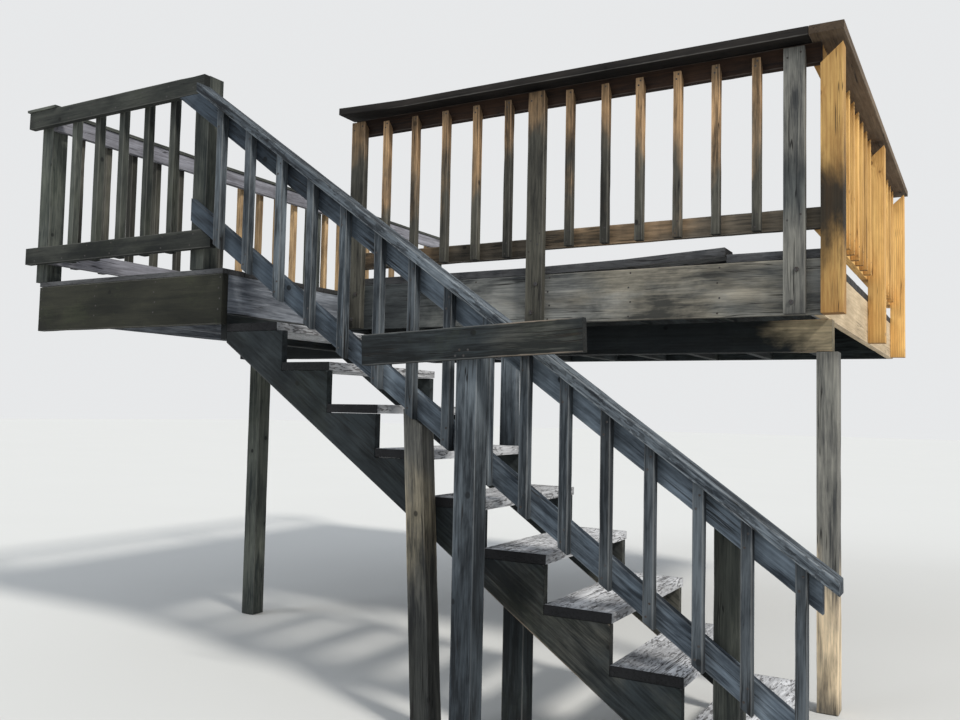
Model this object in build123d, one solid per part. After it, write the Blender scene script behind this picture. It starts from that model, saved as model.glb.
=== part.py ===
from build123d import *
import math
import os

# Raised timber deck with a lower walkway and landing, a straight open stair and post-and-rail guards.
# The origin is on the back face of the deck's house ledger, at its middle: +Y points into the wall,
# +X runs along the deck's front in the direction the stair goes down, +Z is up. Millimetres.

# Sawn timber sections
thin = 38.0
two_by_two = 38.0
two_by_four = 89.0
two_by_six = 140.0
two_by_eight = 184.0
two_by_ten = 235.0
four_by_four = 89.0

# Deck platform
deck_width = 2473.0
deck_depth = 3048.0
deck_joist_depth = two_by_ten
deck_joist_count = 7
deck_board_thickness = thin
deck_board_width = two_by_six
deck_board_count = 21
deck_height = 1936.0

# Walkway beside the deck, which runs out past the front as the stair landing
walkway_width = 1337.0
landing_projection = 888.0
walkway_joist_depth = two_by_eight
walkway_joist_count = 4
walkway_board_thickness = 25.0
walkway_board_width = two_by_six
walkway_board_count = 27
fascia_depth = two_by_ten
board_joint = 5.0

# Lifted front deck board
lifted_board_end = 2076.0
lifted_board_rise = 33.0
lifted_board_bend_start = 1150.0

# Beam and posts under the platform
beam_ply = thin
beam_depth = two_by_six
beam_setback = 200.0
beam_left_inset = 395.0
beam_right_overhang = 11.0
beam_post_right_inset = 53.0
beam_post_left_inset = 489.0

# Stair flight
stair_width = 850.0
tread_count = 9
tread_run = 259.7
tread_depth = 266.5
tread_thickness = thin
first_rise = 256.0
last_rise = 174.4
first_tread_depth = 303.0
stair_start = 80.0
stringer_thickness = thin
stringer_depth = two_by_ten
stringer_header_depth = 120.0

# Stair guard
stair_rail_height = 708.0
stair_rail_drop = 102.0
stair_bottom_rail_gap = 116.0
stair_rail_right = 2620.0
stair_cap_left = 122.0
stair_cap_right = 2675.0
stair_bottom_rail_left = 182.0
stair_baluster_shares = [0.0099, 0.0779, 0.1496, 0.2176, 0.2863, 0.3550, 0.4191, 0.4832]
stair_baluster_shares += [0.5496, 0.6107, 0.6718, 0.7313, 0.7916, 0.8550, 0.9145, 0.9779]
newel_place = 2272.0
newel_drop = 5.0
brace_post_place = 1056.0
brace_post_lean = 70.0
middle_post_place = 1451.0
hanger_post_place = 985.0
hanger_post_drop = 783.0

# Post with a cross board against the outside of the stair guard
cross_post_place = 1364.0
cross_post_above_board = 8.0
cross_board_length = 924.0
cross_board_depth = 120.0
cross_board_left = 958.0
cross_board_height = 1482.0
cross_board_tilt = 2.5

# Deck guard
guard_height = 871.0
cap_width = two_by_six
cap_overhang = 93.0
cap_thickness = thin
front_post_left_place = 58.0
front_post_middle_place = 1129.0
front_post_right_inset = 59.0
guard_post_drop = 19.0
left_bay_shares = [0.1415, 0.3269, 0.5173, 0.7026, 0.8870]
right_bay_shares = [0.1165, 0.2791, 0.4300, 0.5890, 0.7435, 0.9006]
guard_baluster_drop = 37.0
guard_top_mitre = 33.0
left_span_rail_gap = 51.0
right_span_rail_gap = 85.0
front_cap_left = 8.0
front_cap_lift = 16.0
front_cap_lift_length = 430.0
corner_post_low = 105.0
corner_post_high = 25.0
side_post_middle_place = 1573.0
side_post_end_inset = 100.0
side_baluster_counts = [8, 6]

# Landing guard
landing_guard_height = 920.0
landing_bottom_rail_gap = 93.0
landing_left_post_overhang = 35.0
landing_right_post_inset = 128.0
landing_post_rise = 4.0
landing_top_rail_overhang = 100.0
landing_bottom_rail_overhang = 45.0
landing_rail_meeting = 124.0
landing_bottom_rail_right = 48.0
landing_baluster_count = 5
landing_baluster_drop = 7.0
landing_baluster_first = 229.0
landing_baluster_pitch = 184.0
corner_cap_length = 235.0
corner_cap_width = 136.0
corner_cap_thickness = 15.0

# Guard along the walkway's far side
left_guard_height = 901.0
left_cap_thickness = 19.0
left_cap_overhang = 5.0
left_bottom_rail_gap = 93.0
left_middle_post_place = 1250.0
left_baluster_pitch = 176.0
left_baluster_first = 92.0
piece_clearance = 2.0

# Derived places
x_right = deck_width / 2
x_left = -deck_width / 2
x_walk = x_left - walkway_width
y_wall = 0.0
y_front = -deck_depth
y_landing = y_front - landing_projection
z_top = deck_joist_depth / 2
z_under = -deck_joist_depth / 2
z_deck = z_top + deck_board_thickness
z_ground = z_deck - deck_height
z_walk_frame = z_under + walkway_joist_depth
z_walk = z_walk_frame + walkway_board_thickness
y_stair_far = y_front
y_stair_near = y_front - stair_width
x_first_riser = x_left + stair_start
z_first_tread = z_walk - first_rise
tread_rise = (z_first_tread - z_ground - last_rise) / (tread_count - 1)
fall = tread_rise / tread_run
x_nose = x_first_riser + tread_depth
z_guard = z_deck + guard_height
z_landing_rail = z_walk + landing_guard_height
y_guard_outer = y_landing - thin
y_baluster_outer = y_guard_outer - two_by_two
x_guard_side = x_right + two_by_two
x_post_left = x_left + front_post_left_place
x_post_middle = x_left + front_post_middle_place
x_post_right = x_right - front_post_right_inset - two_by_four
z_landing_rail_low = z_landing_rail - two_by_four


def block(x0, x1, y0, y1, z0, z1):
    """A straight piece of timber between two opposite corners."""
    solid = Box(x1 - x0, y1 - y0, z1 - z0)
    return Pos((x0 + x1) / 2, (y0 + y1) / 2, (z0 + z1) / 2) * solid


def side_profile(points, y0, y1):
    """A piece cut from a board that stands on edge along X, given its outline in X and Z."""
    outline = Polyline(*[(x, 0, z) for x, z in points], close=True)
    face = make_face(outline)
    solid = extrude(face, amount=y1 - y0, dir=(0, 1, 0))
    return Pos(0, y0, 0) * solid


def end_profile(points, x0, x1):
    """A piece that stands against the deck's front, given its outline in Y and Z."""
    outline = Polyline(*[(0, y, z) for y, z in points], close=True)
    face = make_face(outline)
    solid = extrude(face, amount=x1 - x0, dir=(1, 0, 0))
    return Pos(x0, 0, 0) * solid


def front_upright(x0, x1, z0, z1):
    """A post or baluster on the front's outer face, its top sawn to fall towards the deck."""
    y0 = y_front - two_by_two
    outline = [(y0, z0), (y_front, z0), (y_front, z1 - guard_top_mitre), (y0, z1)]
    return end_profile(outline, x0, x1)


def evenly(first, last, count):
    """Positions spread evenly from first to last."""
    return [first + (last - first) * i / (count - 1) for i in range(count)]


def nosing_z(x):
    """Height of the line through the tread noses."""
    return z_first_tread - fall * (x - x_nose)


def tread_top(index):
    """Height of a tread's upper face, the top tread being 0."""
    return z_first_tread - index * tread_rise


def riser_x(index):
    """Where the back edge of a tread lies."""
    return x_first_riser + index * tread_run


def rail_under_cap(x):
    """Height of the upper edge of the stair's top rail."""
    return z_rail_foot - stair_rail_fall * (x - x_rail_foot)


def bottom_rail_edge(x):
    """Height of the lower edge of the stair's bottom rail."""
    return nosing_z(x) + stair_bottom_rail_gap


# The top rail runs from its height over the bottom treads to just below the landing's rail
x_rail_foot = x_left + newel_place
z_rail_foot = nosing_z(x_rail_foot) + stair_rail_height
stair_rail_fall = (z_landing_rail - stair_rail_drop - z_rail_foot) / (newel_place + stair_cap_left)


# Platform

def house_ledgers():
    deck = block(x_left, x_right, y_wall - thin, y_wall, z_under, z_top)
    walk = block(x_walk, x_left - piece_clearance, y_wall - thin, y_wall, z_under, z_walk_frame)
    return [deck, walk]


def front_rim_joist():
    return [block(x_left, x_right, y_front, y_front + thin, z_under, z_top)]


def right_rim_joist():
    return [block(x_right - thin, x_right, y_front + thin, y_wall - thin, z_under, z_top)]


def deck_joists():
    places = evenly(x_left, x_right - thin, deck_joist_count)[:-1]
    return [block(x, x + thin, y_front + thin, y_wall - thin, z_under, z_top) for x in places]


def walkway_joists():
    places = evenly(x_walk, x_left - thin, walkway_joist_count)
    return [block(x, x + thin, y_landing + thin, y_wall - thin, z_under, z_walk_frame) for x in places]


def landing_fascia():
    return [block(x_walk, x_left, y_landing, y_landing + thin, z_walk_frame - fascia_depth, z_walk_frame)]


def stringer_header():
    return [block(x_left - thin, x_left, y_landing + thin, y_front, z_under - stringer_header_depth, z_under)]


def lifted_board(y0, y1):
    """The split front board, whose free end has curled up off the joists."""
    x0 = x_left
    xb = x_left + lifted_board_bend_start
    x1 = x_left + lifted_board_end
    xm = (xb + x1) / 2
    low = [(x0, z_top), (xb, z_top), (xm, z_top + lifted_board_rise * 0.3), (x1, z_top + lifted_board_rise)]
    high = [(x, z + deck_board_thickness) for x, z in reversed(low)]
    return side_profile(low + high, y0, y1)


def deck_boards():
    gap = (deck_depth - deck_board_count * deck_board_width) / (deck_board_count - 1)
    pitch = deck_board_width + gap
    boards = [lifted_board(y_front, y_front + deck_board_width)]
    x_short = x_left + lifted_board_end + board_joint
    boards.append(block(x_short, x_right, y_front, y_front + deck_board_width, z_top, z_deck))
    for i in range(1, deck_board_count):
        y = y_front + i * pitch
        boards.append(block(x_left, x_right, y, y + deck_board_width, z_top, z_deck))
    return boards


def walkway_boards():
    length = y_wall - y_landing
    gap = (length - walkway_board_count * walkway_board_width) / (walkway_board_count - 1)
    pitch = walkway_board_width + gap
    boards = []
    for i in range(walkway_board_count):
        y = y_landing + i * pitch
        boards.append(block(x_walk, x_left, y, y + walkway_board_width, z_walk_frame, z_walk))
    return boards


def beam_ply_at(y):
    x0 = x_walk + beam_left_inset
    return block(x0, x_right + beam_right_overhang, y, y + beam_ply, z_under - beam_depth, z_under)


def beam_front_ply():
    return [beam_ply_at(y_front + beam_setback)]


def beam_back_ply():
    return [beam_ply_at(y_front + beam_setback + beam_ply)]


def beam_posts():
    y0 = y_front + beam_setback + beam_ply - four_by_four / 2
    z1 = z_under - beam_depth
    xr = x_right - beam_post_right_inset
    xl = x_walk + beam_post_left_inset
    return [block(x, x + four_by_four, y0, y0 + four_by_four, z_ground, z1) for x in (xl, xr)]


# Deck guard

def front_post(x0):
    z1 = z_guard - guard_post_drop
    return [front_upright(x0, x0 + two_by_four, z_under, z1)]


def side_post(y0):
    """Post on the outside of the right rim, whose top is sawn on a slant under the cap."""
    x0 = x_right
    x1 = x_right + four_by_four
    top = [(x1, z_guard - corner_post_high), (x0, z_guard - corner_post_low)]
    return [side_profile([(x0, z_under), (x1, z_under)] + top, y0, y0 + four_by_four)]


def corner_post():
    return side_post(y_front - two_by_two)


def front_rails():
    x0 = x_post_left
    x_joint = x_post_middle + two_by_four / 2
    y1 = y_front + thin
    top = block(x0, x_right, y_front, y1, z_guard - two_by_four, z_guard)
    zl = z_deck + left_span_rail_gap
    zr = z_deck + right_span_rail_gap
    left = block(x0, x_joint - piece_clearance, y_front, y1, zl, zl + two_by_four)
    right = block(x_joint, x_right, y_front, y1, zr, zr + two_by_four)
    return [top, left, right]


def front_balusters():
    """Two bays of balusters, each placed by its share of the bay between two posts."""
    z1 = z_guard - guard_baluster_drop
    left_bay = (x_post_left + two_by_four, x_post_middle, left_span_rail_gap, left_bay_shares)
    right_bay = (x_post_middle + two_by_four, x_post_right, right_span_rail_gap, right_bay_shares)
    pieces = []
    for x0, x1, gap, shares in (left_bay, right_bay):
        for share in shares:
            x = x0 + share * (x1 - x0)
            pieces.append(front_upright(x - two_by_two / 2, x + two_by_two / 2, z_deck + gap, z1))
    return pieces


def front_cap():
    """Flat cap, whose left end has curled up off its post."""
    x0 = x_left + front_cap_left
    xb = x0 + front_cap_lift_length
    low = [(x0, z_guard + front_cap_lift), (xb, z_guard), (x_right - thin, z_guard)]
    high = [(x, z + cap_thickness) for x, z in reversed(low)]
    y0 = y_front - cap_overhang
    return [side_profile(low + high, y0, y0 + cap_width)]


def side_post_middle():
    return side_post(y_front + side_post_middle_place)


def side_post_end():
    return side_post(y_wall - side_post_end_inset - four_by_four)


def side_rails():
    x0 = x_right - thin
    y0 = y_front + thin
    z0 = z_deck + right_span_rail_gap
    top = block(x0, x_right, y0, y_wall, z_guard - two_by_four, z_guard)
    low = block(x0, x_right, y0, y_wall, z0, z0 + two_by_four)
    return [top, low]


def side_balusters():
    """Two bays of balusters, spread evenly between the posts."""
    y_corner = y_front - two_by_two + four_by_four
    y_mid = y_front + side_post_middle_place
    y_end = y_wall - side_post_end_inset - four_by_four
    z0 = z_deck + right_span_rail_gap
    z1 = z_guard - guard_baluster_drop
    pieces = []
    bays = ((y_corner, y_mid), (y_mid + four_by_four, y_end))
    for (a, b), count in zip(bays, side_baluster_counts):
        pitch = (b - a) / (count + 1)
        for i in range(count):
            y = a + pitch * (i + 1)
            outline = [(x_right, z0), (x_guard_side, z0), (x_guard_side, z1), (x_right, z1 - guard_top_mitre)]
            pieces.append(side_profile(outline, y - two_by_two / 2, y + two_by_two / 2))
    return pieces


def side_cap():
    x0 = x_right - thin
    y0 = y_front - cap_overhang
    return [block(x0, x0 + cap_width, y0, y_wall, z_guard, z_guard + cap_thickness)]


# Landing guard

def landing_post_left():
    x0 = x_walk - landing_left_post_overhang
    return [block(x0, x0 + four_by_four, y_landing, y_landing + four_by_four, z_walk, z_landing_rail)]


def landing_post_right():
    x1 = x_left - landing_right_post_inset
    z1 = z_landing_rail + landing_post_rise
    return [block(x1 - four_by_four, x1, y_landing, y_landing + four_by_four, z_walk, z1)]


def landing_rails():
    """Two level rails outside the posts; the lower is sawn to the slope of the stair's bottom rail."""
    xt = x_walk - landing_top_rail_overhang
    xb = x_walk - landing_left_post_overhang - landing_bottom_rail_overhang
    zb = z_walk + landing_bottom_rail_gap
    y0 = y_guard_outer
    xe = x_left - landing_bottom_rail_right
    top = block(xt, x_left - landing_rail_meeting, y0, y_landing, z_landing_rail_low, z_landing_rail)
    low = block(xb, xe, y0, y_landing, zb, zb + two_by_four)
    above = [(xb, bottom_rail_edge(xb)), (xe, bottom_rail_edge(xe))]
    above += [(xe, z_landing_rail), (xb, z_landing_rail + bottom_rail_edge(xb))]
    return [top, low - side_profile(above, y0, y_landing)]


def landing_balusters():
    z0 = z_walk + landing_bottom_rail_gap
    z1 = z_landing_rail - landing_baluster_drop
    pieces = []
    for i in range(landing_baluster_count):
        x0 = x_walk + landing_baluster_first + i * landing_baluster_pitch - two_by_two / 2
        pieces.append(block(x0, x0 + two_by_two, y_landing, y_landing + two_by_two, z0, z1))
    return pieces


# Guard along the walkway's far side

def left_rail_inner_x():
    return x_walk - landing_left_post_overhang + four_by_four


def left_guard_post(y0):
    x0 = x_walk - landing_left_post_overhang
    z1 = z_walk + left_guard_height
    return [block(x0, x0 + four_by_four, y0, y0 + four_by_four, z_walk, z1)]


def left_post_middle():
    return left_guard_post(y_front + left_middle_post_place)


def left_post_end():
    return left_guard_post(y_wall - four_by_four)


def left_rails():
    x0 = left_rail_inner_x()
    z1 = z_walk + left_guard_height
    zb = z_walk + left_bottom_rail_gap
    top = block(x0, x0 + thin, y_landing, y_wall, z1 - two_by_four, z1)
    low = block(x0, x0 + thin, y_landing, y_wall, zb, zb + two_by_four)
    return [top, low]


def left_balusters():
    x1 = left_rail_inner_x()
    y_start = y_landing + four_by_four + left_baluster_first
    y_mid = y_front + left_middle_post_place
    z0 = z_walk + left_bottom_rail_gap
    z1 = z_walk + left_guard_height - left_cap_thickness
    pieces = []
    y = y_start
    while y < y_wall - four_by_four - two_by_two:
        clear_of_middle = y + two_by_two < y_mid or y - two_by_two > y_mid + four_by_four
        if clear_of_middle:
            pieces.append(block(x1 - two_by_two, x1, y - two_by_two / 2, y + two_by_two / 2, z0, z1))
        y += left_baluster_pitch
    return pieces


def left_caps():
    x0 = x_walk - landing_left_post_overhang - left_cap_overhang
    z0 = z_walk + left_guard_height
    y0 = y_landing + four_by_four + piece_clearance
    long_cap = block(x0, x0 + cap_width, y0, y_wall, z0, z0 + left_cap_thickness)
    xc = x_walk - landing_top_rail_overhang - 2 * left_cap_overhang
    yc = y_landing + four_by_four - corner_cap_width
    zc = z_landing_rail
    corner = block(xc, xc + corner_cap_length, yc, yc + corner_cap_width, zc, zc + corner_cap_thickness)
    return [long_cap, corner]


# Stair flight

def treads():
    pieces = []
    for i in range(tread_count):
        x0 = x_left if i == 0 else riser_x(i)
        x1 = x_left + first_tread_depth if i == 0 else x0 + tread_depth
        z1 = tread_top(i)
        pieces.append(block(x0, x1, y_stair_near, y_stair_far, z1 - tread_thickness, z1))
    return pieces


def stringer_outline():
    """Sawtooth outline: a level seat and a plumb cut for each tread, and a level foot."""
    points = []
    x = x_left
    for i in range(tread_count):
        seat = tread_top(i) - tread_thickness
        points.append((x, seat))
        x = riser_x(i + 1)
        points.append((x, seat))
    points.append((x, z_ground))
    drop = stringer_depth / math.cos(math.atan(fall))
    x_tip = riser_x(1)
    z_tip = tread_top(0) - tread_thickness

    def underside(u):
        return z_tip - fall * (u - x_tip) - drop

    x_heel = x_tip + (z_tip - drop - z_ground) / fall
    points.append((x_heel, z_ground))
    points.append((x_left, underside(x_left)))
    return points


def near_stringer():
    return [side_profile(stringer_outline(), y_stair_near, y_stair_near + stringer_thickness)]


def far_stringer():
    return [side_profile(stringer_outline(), y_stair_far - stringer_thickness, y_stair_far)]


def lower_newel():
    """Newel lapped over the near stringer, standing on the bottom tread, top sawn along the rail."""
    x0 = x_left + newel_place
    x1 = x0 + four_by_four
    z_step = tread_top(tread_count - 1)
    z0 = rail_under_cap(x0) - newel_drop
    z1 = rail_under_cap(x1) - newel_drop
    outline = [(x0, z_step), (x1, z_step), (x1, z1), (x0, z0)]
    shaft = side_profile(outline, y_landing, y_landing + four_by_four)
    lap = block(x0, x1, y_landing, y_stair_near, z_ground, z_step)
    return [shaft + lap]


def stair_rails():
    """Two rails on edge on the slope of the flight; the upper runs in under the landing's top rail."""
    xb = x_left + stair_rail_right
    deep = two_by_four / math.cos(math.atan(stair_rail_fall))
    x_tip = xb - (z_landing_rail_low - rail_under_cap(xb) + deep) / stair_rail_fall
    x_level = x_tip + deep / stair_rail_fall
    top_points = [(x_tip, z_landing_rail_low), (xb, rail_under_cap(xb) - deep)]
    top_points += [(xb, rail_under_cap(xb)), (x_level, z_landing_rail_low)]
    top = side_profile(top_points, y_guard_outer, y_landing)
    xc = x_left - stair_bottom_rail_left
    deep_low = two_by_four / math.cos(math.atan(fall))
    low_points = [(xc, bottom_rail_edge(xc)), (xb, bottom_rail_edge(xb))]
    low_points += [(xb, bottom_rail_edge(xb) + deep_low), (xc, bottom_rail_edge(xc) + deep_low)]
    low = side_profile(low_points, y_guard_outer, y_landing)
    return [top, low]


def stair_cap():
    xa = x_left - stair_cap_left
    xb = x_left + stair_cap_right
    thick = thin / math.cos(math.atan(stair_rail_fall))
    points = [(xa, rail_under_cap(xa)), (xb, rail_under_cap(xb))]
    points += [(xb, rail_under_cap(xb) + thick), (xa, rail_under_cap(xa) + thick)]
    return [side_profile(points, y_landing - two_by_four, y_landing)]


def stair_balusters():
    """Balusters on the outer face of the rails, mitred to the slope at both ends."""
    pieces = []
    for share in stair_baluster_shares:
        x = x_left + share * stair_rail_right
        x0 = x - two_by_two / 2
        x1 = x + two_by_two / 2
        points = [(x0, bottom_rail_edge(x0)), (x1, bottom_rail_edge(x1))]
        points += [(x1, rail_under_cap(x1)), (x0, rail_under_cap(x0))]
        pieces.append(side_profile(points, y_baluster_outer, y_guard_outer))
    return pieces


def brace_post():
    """Leaning post from the ground up the outside of the near stringer, sawn to the bottom rail's slope."""
    x0 = x_left + brace_post_place
    x1 = x0 + four_by_four
    xf = x0 + brace_post_lean
    points = [(xf, z_ground), (xf + four_by_four, z_ground)]
    points += [(x1, bottom_rail_edge(x1)), (x0, bottom_rail_edge(x0))]
    return [side_profile(points, y_stair_near - four_by_four, y_stair_near)]


def middle_post():
    """Post under a tread, against the inner face of the near stringer."""
    x0 = x_left + middle_post_place
    index = int((x0 - x_first_riser) // tread_run)
    z1 = tread_top(index) - tread_thickness
    y0 = y_stair_near + stringer_thickness
    return [block(x0, x0 + four_by_four, y0, y0 + four_by_four, z_ground, z1)]


def hanger_post():
    """Flat post that hangs the far stringer from the deck's front rim."""
    x0 = x_left + hanger_post_place
    return [block(x0, x0 + two_by_four, y_front, y_front + thin, z_under - hanger_post_drop, z_under)]


def cross_post():
    x0 = x_left + cross_post_place
    y1 = y_baluster_outer
    z1 = z_ground + cross_board_height + cross_post_above_board
    return [block(x0, x0 + four_by_four, y1 - four_by_four, y1, z_ground, z1)]


def cross_board():
    """Slightly tilted board across the outer face of the cross post."""
    y1 = y_baluster_outer - four_by_four
    solid = Box(cross_board_length, thin, cross_board_depth)
    x_mid = x_left + cross_board_left + cross_board_length / 2
    turned = Rot(0, -cross_board_tilt, 0) * solid
    return [Pos(x_mid, y1 - thin / 2, z_ground + cross_board_height) * turned]


pieces = {
    "house_ledgers": house_ledgers(),
    "front_rim_joist": front_rim_joist(),
    "right_rim_joist": right_rim_joist(),
    "deck_joists": deck_joists(),
    "walkway_joists": walkway_joists(),
    "landing_fascia": landing_fascia(),
    "stringer_header": stringer_header(),
    "beam_front_ply": beam_front_ply(),
    "beam_back_ply": beam_back_ply(),
    "beam_posts": beam_posts(),
    "deck_boards": deck_boards(),
    "walkway_boards": walkway_boards(),
    "front_post_left": front_post(x_post_left),
    "front_post_middle": front_post(x_post_middle),
    "front_post_right": front_post(x_post_right),
    "corner_post": corner_post(),
    "front_rails": front_rails(),
    "front_balusters": front_balusters(),
    "front_cap": front_cap(),
    "side_post_middle": side_post_middle(),
    "side_post_end": side_post_end(),
    "side_rails": side_rails(),
    "side_balusters": side_balusters(),
    "side_cap": side_cap(),
    "landing_post_left": landing_post_left(),
    "landing_post_right": landing_post_right(),
    "landing_rails": landing_rails(),
    "landing_balusters": landing_balusters(),
    "left_post_middle": left_post_middle(),
    "left_post_end": left_post_end(),
    "left_rails": left_rails(),
    "left_balusters": left_balusters(),
    "left_caps": left_caps(),
    "treads": treads(),
    "near_stringer": near_stringer(),
    "far_stringer": far_stringer(),
    "lower_newel": lower_newel(),
    "stair_rails": stair_rails(),
    "stair_cap": stair_cap(),
    "stair_balusters": stair_balusters(),
    "brace_post": brace_post(),
    "middle_post": middle_post(),
    "hanger_post": hanger_post(),
    "cross_post": cross_post(),
    "cross_board": cross_board(),
}

os.makedirs("parts", exist_ok=True)
for name, solids in pieces.items():
    shape = solids[0] if len(solids) == 1 else Compound(children=solids)
    export_step(shape, "parts/" + name + ".step")
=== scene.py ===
import math
import random

import bmesh
import bpy
from bpy.props import FloatProperty, FloatVectorProperty, IntProperty, PointerProperty
from mathutils import Matrix, Vector, noise
from mathutils.bvhtree import BVHTree


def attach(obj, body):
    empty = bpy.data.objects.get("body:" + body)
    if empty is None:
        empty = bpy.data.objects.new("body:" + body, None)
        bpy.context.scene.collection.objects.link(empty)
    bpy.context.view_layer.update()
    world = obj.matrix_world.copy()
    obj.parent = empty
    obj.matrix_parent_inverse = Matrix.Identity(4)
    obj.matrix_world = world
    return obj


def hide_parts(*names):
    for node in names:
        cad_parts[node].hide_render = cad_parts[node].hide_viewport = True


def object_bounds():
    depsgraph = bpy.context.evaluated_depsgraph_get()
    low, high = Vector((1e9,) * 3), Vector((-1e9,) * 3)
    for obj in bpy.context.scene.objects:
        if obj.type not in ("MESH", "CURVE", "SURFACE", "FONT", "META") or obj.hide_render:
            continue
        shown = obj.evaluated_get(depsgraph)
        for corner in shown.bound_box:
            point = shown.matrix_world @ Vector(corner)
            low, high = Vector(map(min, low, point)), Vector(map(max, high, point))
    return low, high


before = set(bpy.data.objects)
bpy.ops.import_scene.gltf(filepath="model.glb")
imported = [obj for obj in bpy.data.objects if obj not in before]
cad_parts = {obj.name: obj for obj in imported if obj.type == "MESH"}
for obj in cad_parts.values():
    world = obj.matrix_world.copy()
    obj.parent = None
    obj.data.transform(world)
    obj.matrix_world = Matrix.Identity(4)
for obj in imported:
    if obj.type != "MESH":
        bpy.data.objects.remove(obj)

bl_info = {
    "name": "Weathered deck and stair",
    "version": (1, 0, 0),
    "blender": (4, 5, 0),
    "location": "3D View > Sidebar > Deck stair",
    "description": "Dresses a timber deck and its stair as sawn, weathered boards with nails and lag screws",
    "category": "Add Mesh",
}

CAD_BOX = [list(corner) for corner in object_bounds()]
GROUND = min(corner[2] for corner in CAD_BOX)

# The photograph's view, worked out from the lines of the deck, in metres and degrees.
VIEW_PLACE = (1.8407, -6.9421, -0.5444)
VIEW_TURN_LEFT = 29.569
VIEW_TILT_UP = 3.244
VIEW_ROLL = -1.2
VIEW_FOCAL_PIXELS = 903.8
VIEW_WIDTH_PIXELS = 960.0
SENSOR_WIDTH = 36.0

# The timbers: what each is called, and its pale and dark grain in linear colour.
TIMBERS = {
    "rim": ("Front rim", (0.42, 0.42, 0.385), (0.055, 0.06, 0.062)),
    "flank": ("Side rim", (0.64, 0.51, 0.34), (0.33, 0.25, 0.155)),
    "slate": ("Walkway frame", (0.37, 0.4, 0.445), (0.085, 0.096, 0.115)),
    "fascia": ("Landing fascia", (0.033, 0.033, 0.022), (0.008, 0.009, 0.006)),
    "landing": ("Landing guard", (0.092, 0.098, 0.082), (0.016, 0.02, 0.019)),
    "pale": ("Far rails", (0.27, 0.27, 0.30), (0.085, 0.083, 0.092)),
    "tan": ("Far balusters", (0.52, 0.35, 0.18), (0.13, 0.085, 0.045)),
    "post": ("Front posts and balusters", (0.11, 0.105, 0.083), (0.016, 0.016, 0.014)),
    "rail": ("Lower front rails", (0.135, 0.11, 0.08), (0.026, 0.023, 0.018)),
    # The upper front rails' near-black red-brown is painted shade: the cap's shadow over them.
    "umber": ("Upper front rails", (0.044, 0.022, 0.012), (0.009, 0.005, 0.0035)),
    "cap": ("Front cap", (0.024, 0.02, 0.017), (0.004, 0.0035, 0.0033)),
    "bark": ("Side cap", (0.24, 0.175, 0.115), (0.070, 0.047, 0.029)),
    "honey": ("Newer timber", (0.88, 0.55, 0.19), (0.38, 0.19, 0.056)),
    "tread": ("Treads and boards", (0.87, 0.88, 0.90), (0.28, 0.285, 0.295)),
    # The shade colours are painted shade: near-black grain for the timber in the shade under the deck and by
    # the stair.
    "shade": ("Damp timber", (0.027, 0.034, 0.037), (0.0045, 0.0065, 0.0075)),
    "ridge": ("Stair cap", (0.21, 0.245, 0.275), (0.02, 0.027, 0.035)),
    "picket": ("Stair balusters", (0.15, 0.175, 0.195), (0.018, 0.024, 0.03)),
    "prop": ("Standing posts", (0.155, 0.15, 0.13), (0.026, 0.027, 0.027)),
    "railing": ("Stair rails", (0.135, 0.165, 0.195), (0.017, 0.022, 0.028)),
}


def colour(name, description, default):
    """A colour property with its default."""
    return FloatVectorProperty(
        name=name, description=description, subtype="COLOR", size=3, min=0.0, max=1.0, default=default)


def length(name, description, default):
    """A length property with its default in metres."""
    return FloatProperty(name=name, description=description, default=default, unit="LENGTH")


class TimberSizes(bpy.types.PropertyGroup):
    """How the sawn timber is eased and worn."""
    ease: length("Eased edge", "Rounding of a board's long edges", 0.003)
    cut_length: length("Wear spacing", "Distance between the places where a board's edge wanders", 0.09)
    wear: length("Surface wear", "How far weathering has taken a face below its sawn size", 0.0011)
    dent: length("Edge dents", "Depth of the knocks along a board's edges", 0.0035)
    seed: IntProperty(name="Seed", description="Chooses each board's own grain", default=11)


class TimberColours(bpy.types.PropertyGroup):
    """What the weather leaves on the timber. The pale and dark grain of each timber is added below."""
    # The pale and the warm colours are painted sunlight, laid by patches where sunlight falls on a board.
    painted_sun_pale: colour("Bare timber", "Pale timber where the weather has washed it bare", (0.34, 0.28, 0.18))
    painted_sun_warm: colour("Sunned timber", "Warm timber where the grey has been stripped", (0.29, 0.180, 0.090))
    moss: colour("Moss", "Green film on damp timber", (0.055, 0.068, 0.030))


for key, (title, light, dark) in TIMBERS.items():
    for end, tone, default in (("_light", "Pale", light), ("_dark", "Dark", dark)):
        TimberColours.__annotations__[key + end] = colour(
            title + ", " + tone.lower(), tone + " grain of the " + title.lower(), default)


class FixingSizes(bpy.types.PropertyGroup):
    """Sizes and colours of the nails and lag screws."""
    nail_radius: length("Nail head radius", "Radius of a nail's head", 0.0045)
    nail_height: length("Nail head height", "Thickness of a nail's head", 0.0016)
    lag_radius: length("Lag screw head radius", "Radius across the corners of a lag screw's head", 0.0105)
    lag_height: length("Lag screw head height", "Height of a lag screw's head", 0.006)
    rust: colour("Rust", "Rusted steel", (0.026, 0.018, 0.014))
    steel: colour("Steel", "Dull steel", (0.040, 0.040, 0.042))


class StageSizes(bpy.types.PropertyGroup):
    """Floor, lamps and background."""
    floor_colour: colour("Floor", "Plain pale floor", (0.62, 0.62, 0.60))
    back_colour: colour("Background", "What the camera sees beyond the floor", (0.80, 0.81, 0.82))
    key_strength: FloatProperty(name="Key lamp", description="Strength of the lamp on the right", default=2.9)
    fill_strength: FloatProperty(name="Fill", description="Strength of the light all round", default=0.62)
    floor_reach: length("Floor reach", "Half the width of the floor", 60.0)


# Boards. Distances are in metres.

MERGE_GAP = 0.00002
CUT_GAP = 0.00005
FLAT_ANGLE = math.radians(0.6)
SAWN_ANGLE = math.radians(10)
EASED_ANGLE = math.radians(20)
SMOOTH_ANGLE = math.radians(38)
# How far a long side's normal may lean along its board.
SIDE_LEAN = 0.2
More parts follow.
